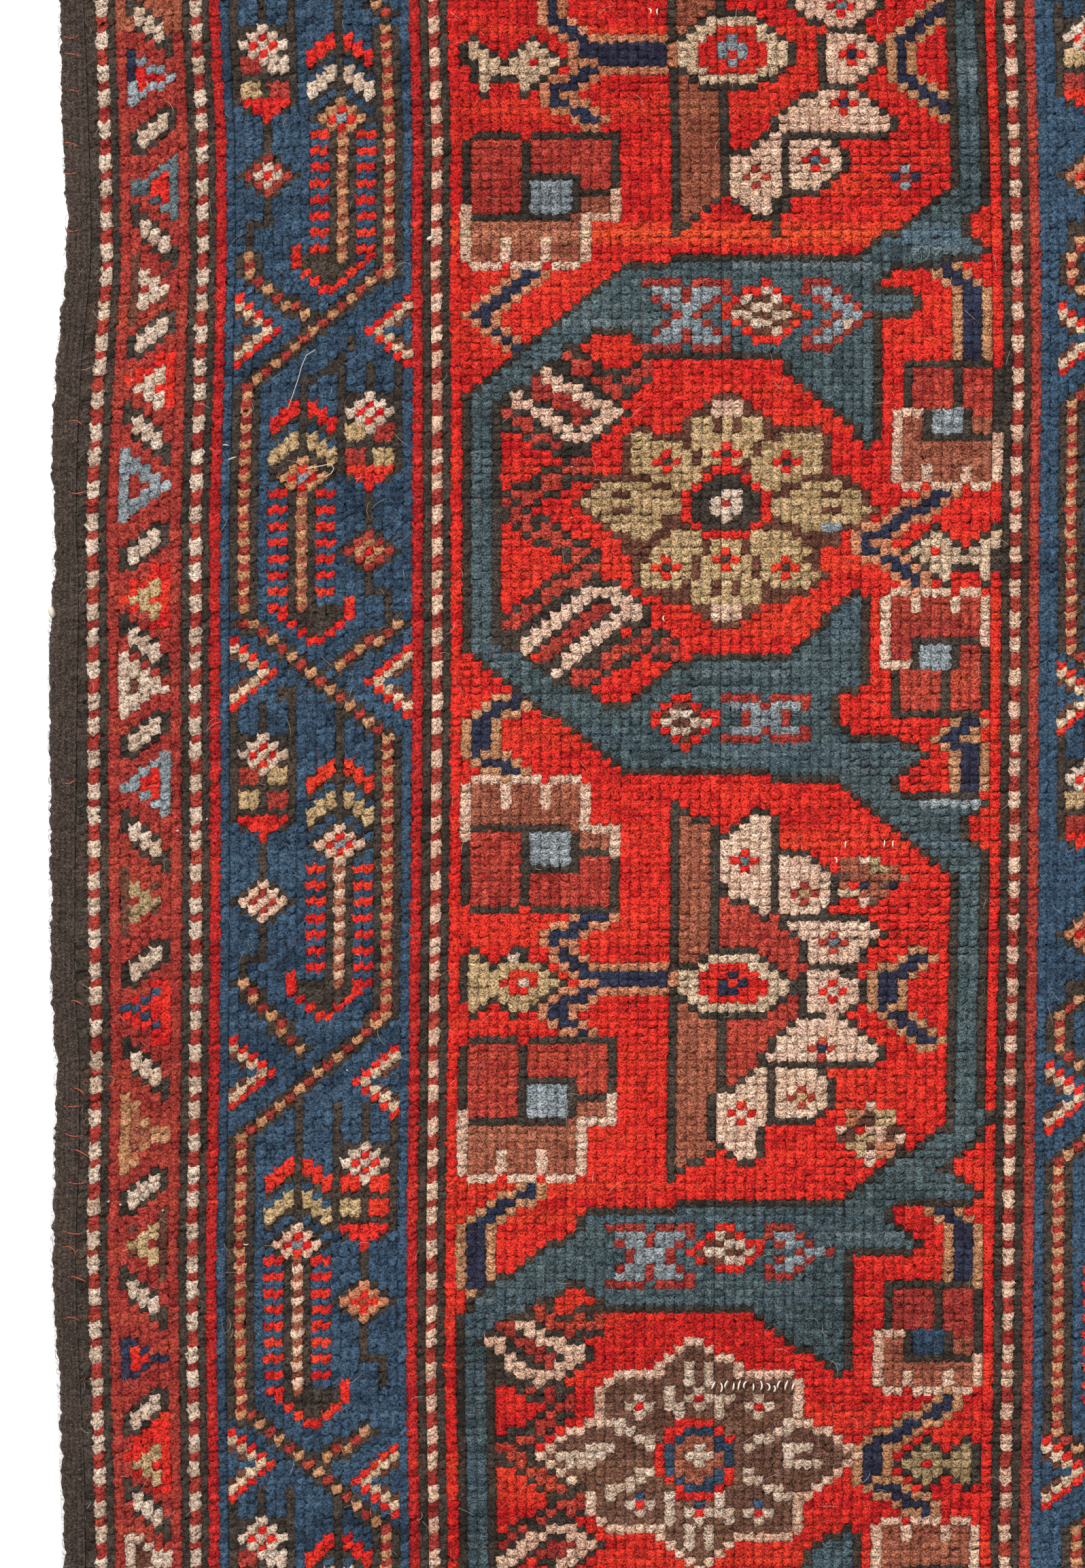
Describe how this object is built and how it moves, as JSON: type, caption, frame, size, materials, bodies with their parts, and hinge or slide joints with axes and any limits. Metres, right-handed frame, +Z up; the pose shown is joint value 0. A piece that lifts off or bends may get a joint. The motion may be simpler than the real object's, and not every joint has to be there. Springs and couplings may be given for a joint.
{
  "type": "persian rug, cut length of its edge and borders",
  "caption": "Flat cut length of a hand-knotted wool rug: wound side selvedge and geometric floral borders in worn pile, to lie on a floor.",
  "frame": {"origin": "middle of the footprint's bounding box, on the surface that the rug lies on", "axes": "+Z up out of the pile, +Y along the warps to the top end, -X the finished side with the selvedge"},
  "size_m": [0.3914, 0.597, 0.0075],
  "materials": {
    "pile": "hand-knotted wool pile in madder reds, indigo blues, browns and ivory, worn low and matt",
    "selvedge": "wound charcoal-brown goat hair and wool yarn, matt"
  },
  "bodies": {
    "root": {"pile_cloth": "pile", "selvedge": "selvedge"}
  },
  "joints": []
}
